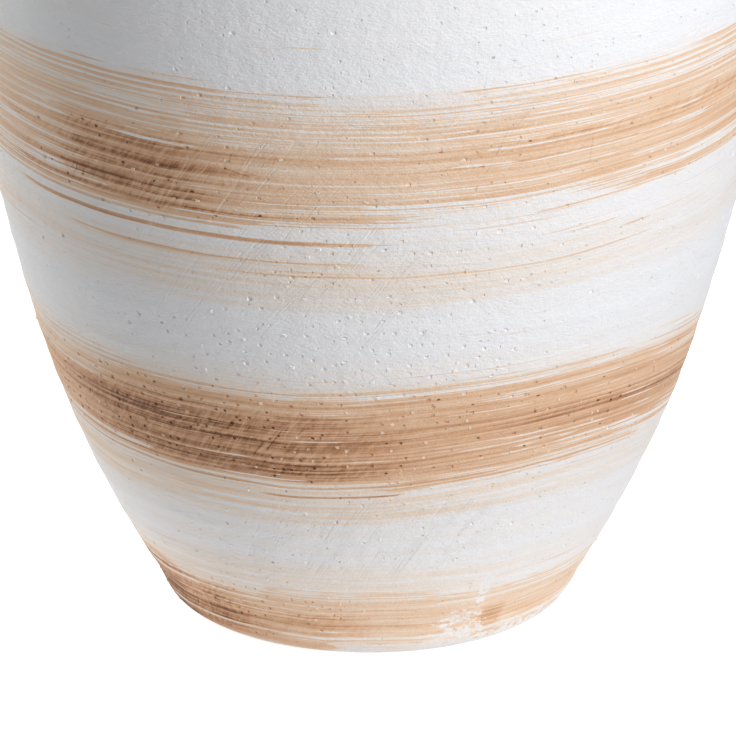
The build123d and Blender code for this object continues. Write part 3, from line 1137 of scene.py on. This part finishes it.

# %% [markdown]
# ## From paint to pigment
#
# Where the brush covered the wall, the depth of the colour is the tone of the plan and of the marks,
# made uneven by the bristles and the ticks. Under and between the bands lies a thin wash, in streaks.
# Pigment settles in most of the holes and in the nicks, and it is rubbed off grains and scratches. Holes in
# bare slip also get a faint painted shade.

# %% Depth, wash and settling
def paint_depth(bench, tone, dark_tone, patches, ticks, middle, fine):
    """How deep the colour is where the brush covered the wall."""
    depth = bench.times_plus(patches, 0.12, tone)
    depth = bench.times_plus(bench.minus(middle, 0.5), 0.52, depth)
    depth = bench.times_plus(bench.minus(fine, 0.5), 0.34, depth)
    depth = bench.times_plus(bench.minus(ticks, 0.5), 0.14, depth)
    broken = bench.times_plus(ticks, 0.66, bench.times(middle, 0.34))
    broken = bench.spread(broken, 0.38, 0.62, 0.60, 1.40)
    return bench.times_plus(dark_tone, broken, depth)


def thin_wash(bench, wash, sine, worn, broad, middle):
    """The wash in streaks, weaker on the right and where it is worn."""
    streaks = bench.times_plus(middle, 0.6, bench.times(broad, 0.4))
    thin = bench.times(wash, bench.spread(streaks, 0.37, 0.63, 0.10, 2.2))
    thin = bench.times(thin, bench.spread(sine, 0.15, 0.75, 1.0, 0.5))
    return bench.times(thin, bench.times_plus(worn, -0.7, 1.0))


def settle(bench, pigment, holes, scratch, nick):
    """The pigment after it ran into holes and nicks and was scraped off in the scratches. Holes in bare slip
    also get a little painted shade.
    """
    # at least 0.04 even where there is no pigment: a faint painted shade in the holes
    pooled_pigment_and_hole_shade = bench.spread(pigment, 0.40, 0.68, 0.04, 0.26)
    pigment = bench.times_plus(holes, pooled_pigment_and_hole_shade, pigment)
    pigment = bench.times(pigment, bench.times_plus(scratch, -0.18, 0.93))
    return bench.times(pigment, bench.times_plus(nick, 0.26, 1.0))


print("pigment comes from depth, wash, holes, scratches and nicks")

# %% [markdown]
# ## The painted slip of the body
#
# Now the steps come together. The plan and the marks give the load, the load against the dryness
# gives the coverage, coverage and depth give the pigment, and the pigment ramp gives the colour. The
# relief holds what is finer than the mesh: the grain of the slip, soft lumps, ticks, pocks and
# scratches.

# %% Painted slip
def painted_slip():
    bench = FinishBench("painted_slip")
    millimetres, level, angle, sine, minus_cosine = place_on_jar(bench)
    height = planned_height(bench, level, sine, minus_cosine)
    brush = bench.join(sine, minus_cosine, height)
    load, wash, tone = read_plan(bench, height)
    mark_load, mark_tone = add_marks(bench, height, angle, brush_and_shade_marks)
    dark_load, dark_tone = add_marks(bench, height, angle, dark_strokes)
    patches = bench.minus(bench.noise(brush, (2.4, 2.4, 0.09), 1.0), 0.5)
    ticks = bench.noise(leaned(bench, millimetres, level, 0.0062), (0.46, 0.46, 0.22), 3.0, 0.66)
    loaded = bench.plus(load, bench.plus(mark_load, dark_load))
    loaded = bench.times_plus(patches, 0.30, loaded)
    worn = worn_back(bench, millimetres, level, angle)
    loaded = bench.times_plus(worn, -0.80, loaded)
    covered, row_tone, broad, middle, fine = brush_coverage(bench, brush, loaded)

    all_tone = bench.plus(bench.plus(tone, mark_tone), row_tone)
    depth = paint_depth(bench, all_tone, dark_tone, patches, ticks, middle, fine)
    thin = thin_wash(bench, wash, sine, worn, broad, middle)
    pigment = bench.times(covered, bench.minus(depth, thin))
    pigment = bench.plus(pigment, thin)
    scratch = scratches(bench, bench.join(sine, minus_cosine, level), level, angle)
    nick = nick_lines(bench, level, angle)
    pock, chance = pocks(bench, millimetres)
    spot = bench.attribute("pinhole", "Fac")
    holes = bench.times(pock, bench.spread(chance, 0.84, 0.85, -0.9, 1.2))
    pigment = settle(bench, pigment, bench.plus(holes, spot), scratch, nick)
    bench.set(bench.shader.inputs["Base Color"], bench.ramp(pigment, pigment_stops))

    grain = bench.noise(millimetres, (0.50, 0.50, 1.00), 3.0, 0.76)
    lumps = bench.noise(millimetres, (0.15, 0.15, 0.17), 1.0, 0.5)
    relief = bench.times_plus(lumps, 0.45, bench.times(grain, 0.52))
    relief = bench.times_plus(ticks, 0.07, relief)
    relief = bench.times_plus(pock, -0.30, relief)
    relief = bench.times_plus(scratch, -0.10, relief)
    bench.bump(relief)
    bench.set(bench.shader.inputs["Roughness"], bench.spread(grain, 0.3, 0.7, 0.50, 0.68))
    return bench.material


body_finish = painted_slip()
print("painted_slip has", len(body_finish.node_tree.nodes), "nodes")

# %% [markdown]
# ## Bare clay
#
# The inside and the underside stay bare: pale buff earthenware, with the potter's finger spiral, and
# slip that ran a little way down inside the lip. Its colour varies as clay does that was fired
# unevenly.

# %% Bare clay
def bare_clay():
    bench = FinishBench("bare_clay")
    millimetres = bench.millimetres()
    level = bench.parts(millimetres)[2]
    clouds = bench.noise(millimetres, (0.02, 0.02, 0.05), 3.0)
    grit = bench.noise(millimetres, (0.6, 0.6, 0.6), 3.0, 0.65)
    spiral = bench.math("SINE", bench.times_plus(clouds, 3.0, bench.times(level, 0.8)))
    warmth = bench.times_plus(grit, 0.4, bench.times(clouds, 0.6))
    clay = bench.ramp(
        warmth,
        [
            (0.30, from_screen(196, 152, 118)),
            (0.50, from_screen(212, 172, 138)),
            (0.72, from_screen(226, 192, 160)),
        ],
    )
    run = bench.times_plus(bench.noise(millimetres, (0.05, 0.05, 0.01), 2.0), 26.0, level)
    slip = bench.spread(run, 464, 467)
    bench.set(bench.shader.inputs["Base Color"], bench.mix(slip, clay, (*pigment_stops[0][1], 1.0)))
    relief = bench.times_plus(spiral, 0.12, bench.times(grit, 0.30))
    bench.bump(relief)
    bench.set(bench.shader.inputs["Roughness"], bench.spread(grit, 0.3, 0.7, 0.72, 0.88))
    return bench.material


clay_finish = bare_clay()
for piece in sections.values():
    piece.data.materials.append(body_finish)
    piece.data.materials.append(clay_finish)
print("bare_clay has", len(clay_finish.node_tree.nodes), "nodes")

# %% [markdown]
# ## Brushed slip on the handles
#
# A handle is brushed along its length, not round it, and the brush runs dry towards the roots. The
# mesh carries how far along and how far round each point is, so the bristle lines follow the bend.

# %% Handle slip
def handle_slip():
    bench = FinishBench("handle_slip")
    stroke = bench.attribute("stroke", "Vector")
    along = bench.parts(stroke)[2]
    millimetres = bench.millimetres()
    lines = bench.noise(stroke, (4.0, 4.0, 0.02), 2.0)
    hairs = bench.noise(stroke, (11.0, 11.0, 0.05), 1.0)
    patches = bench.noise(millimetres, (0.03, 0.03, 0.03), 2.0)
    ticks = bench.noise(millimetres, (0.7, 0.7, 0.7), 3.0, 0.6)
    load = bench.times(
        bench.spread(along, 22, 44, 0.10, 0.86), bench.spread(along, 100, 126, 1.0, 0.12)
    )
    dryness = bench.times_plus(hairs, 0.35, bench.times(lines, 0.65))
    dryness = bench.spread(bench.times_plus(patches, 0.25, dryness), 0.40, 0.85)
    covered = bench.spread(bench.minus(load, dryness), -0.10, 0.12, smooth=True)
    depth = bench.times_plus(bench.minus(lines, 0.5), 0.6, 0.60)
    depth = bench.times_plus(bench.minus(ticks, 0.5), 0.3, depth)
    pigment = bench.times_plus(covered, depth, bench.spread(patches, 0.4, 0.7, 0.0, 0.12))
    pigment = bench.times(pigment, 0.91)
    bench.set(bench.shader.inputs["Base Color"], bench.ramp(pigment, pigment_stops))
    relief = bench.times_plus(ticks, 0.16, bench.times(lines, 0.25))
    bench.bump(relief)
    bench.set(bench.shader.inputs["Roughness"], bench.spread(ticks, 0.3, 0.7, 0.50, 0.68))
    return bench.material


handle_finish = handle_slip()
for piece in handles.values():
    piece.data.materials.append(handle_finish)
print("handle_slip has", len(handle_finish.node_tree.nodes), "nodes")

# %% [markdown]
# ## Floor and background
#
# The picture has a white ground, and the lower wall is lit from below: the jar stands on a white
# table that is brightest round its foot. The floor here glows a little near the foot, less where
# the foot shades it, and it is lifted towards white for the camera and for gloss. It is also a matt
# surface, so that the jar's soft shadow still shows on it.

# %% Floor
floor_mesh = bpy.data.meshes.new("floor")
floor_edit = bmesh.new()
bmesh.ops.create_circle(floor_edit, cap_ends=True, segments=96, radius=9.0)
floor_edit.to_mesh(floor_mesh)
floor_edit.free()
floor = bpy.data.objects.new("floor", floor_mesh)
scene.collection.objects.link(floor)


def seen_or_mirrored(tree):
    """1 for rays from the camera, or by way of a glossy or clear surface, 0 for the rest."""
    rays = tree.nodes.new("ShaderNodeLightPath")
    seen = rays.outputs["Is Camera Ray"]
    for kind in ("Is Glossy Ray", "Is Transmission Ray"):
        either = tree.nodes.new("ShaderNodeMath")
        either.operation = "MAXIMUM"
        tree.links.new(seen, either.inputs[0])
        tree.links.new(rays.outputs[kind], either.inputs[1])
        seen = either.outputs[0]
    return seen


floor_bench = FinishBench("floor_white")
tree = floor_bench.material.node_tree
floor_grey = (0.6, 0.6, 0.6, 1)
matt = floor_bench.add("BsdfDiffuse", floor_grey)
glow = floor_bench.add("Emission")
floor_place = floor_bench.add("TexCoord").outputs["Object"]
reach = floor_bench.add("VectorMath", floor_place, operation="LENGTH").outputs["Value"]
glow_near, glow_far, glow_seen = 0.58, 0.10, 0.78
near_foot = floor_bench.spread(reach, 0.13, 0.22, glow_near, glow_far)
contact_shade = floor_bench.spread(reach, 0.070, 0.095, 0.60, 1.0)
near_foot = floor_bench.times(near_foot, contact_shade)
lifted = floor_bench.times(seen_or_mirrored(tree), glow_seen)
floor_bench.set(glow.inputs["Strength"], floor_bench.math("MAXIMUM", near_foot, lifted))
both = floor_bench.add("AddShader", matt.outputs[0], glow.outputs[0])
tree.links.new(both.outputs[0], tree.nodes["Material Output"].inputs["Surface"])
tree.nodes.remove(floor_bench.shader)
floor_mesh.materials.append(floor_bench.material)
print("floor laid")

# %% World
world = bpy.data.worlds.new("white_room")
scene.world = world
world.use_nodes = True
tree = world.node_tree
ground = tree.nodes["Background"]
ground.inputs["Color"].default_value = (1, 1, 1, 1)
level = tree.nodes.new("ShaderNodeMapRange")
level.inputs["To Min"].default_value = 0.02
level.inputs["To Max"].default_value = 1.0
tree.links.new(seen_or_mirrored(tree), level.inputs["Value"])
tree.links.new(level.outputs[0], ground.inputs["Strength"])
print("white room")

# %% [markdown]
# ## Lamps
#
# The picture's wall is brightest to the right of the middle, darkest about a third of the way in
# from the left, and light again at the left edge. That is a soft lamp from the front right with a
# weak one beside it, a large one from high behind on the left, and a slightly warm one that grazes
# the left edge. They are kept low enough that the white slip keeps its shading.

# %% Lamps
jar_middle = Vector((0, 0, 0.16))
slip_white = 0.83


def soft_panel(name, azimuth, elevation, distance, size, brightness, colour=(1, 1, 1)):
    """A square lamp. Brightness is what white slip shows when it faces the lamp."""
    data = bpy.data.lights.new(name, "AREA")
    data.shape = "SQUARE"
    data.size = size
    data.color = colour
    data.energy = brightness / slip_white * math.pi**2 * distance**2
    turn_angle, lift_angle = math.radians(azimuth), math.radians(elevation)
    away = Vector(
        (
            math.sin(turn_angle) * math.cos(lift_angle),
            -math.cos(turn_angle) * math.cos(lift_angle),
            math.sin(lift_angle),
        )
    )
    lamp = bpy.data.objects.new(name, data)
    lamp.location = jar_middle + away * distance
    lamp.rotation_euler = away.to_track_quat("Z", "Y").to_euler()
    scene.collection.objects.link(lamp)
    return lamp


soft_panel("front_right_panel", 43, 27, 1.7, 0.6, 0.690, (0.995, 0.985, 0.99))
soft_panel("front_panel", 8, 20, 2.2, 0.8, 0.040)
soft_panel("back_left_panel", -138, 52, 1.8, 1.3, 0.56)
soft_panel("left_edge_panel", -116, 15, 1.6, 1.0, 0.355, (1, 0.985, 0.95))
print("four lamps")
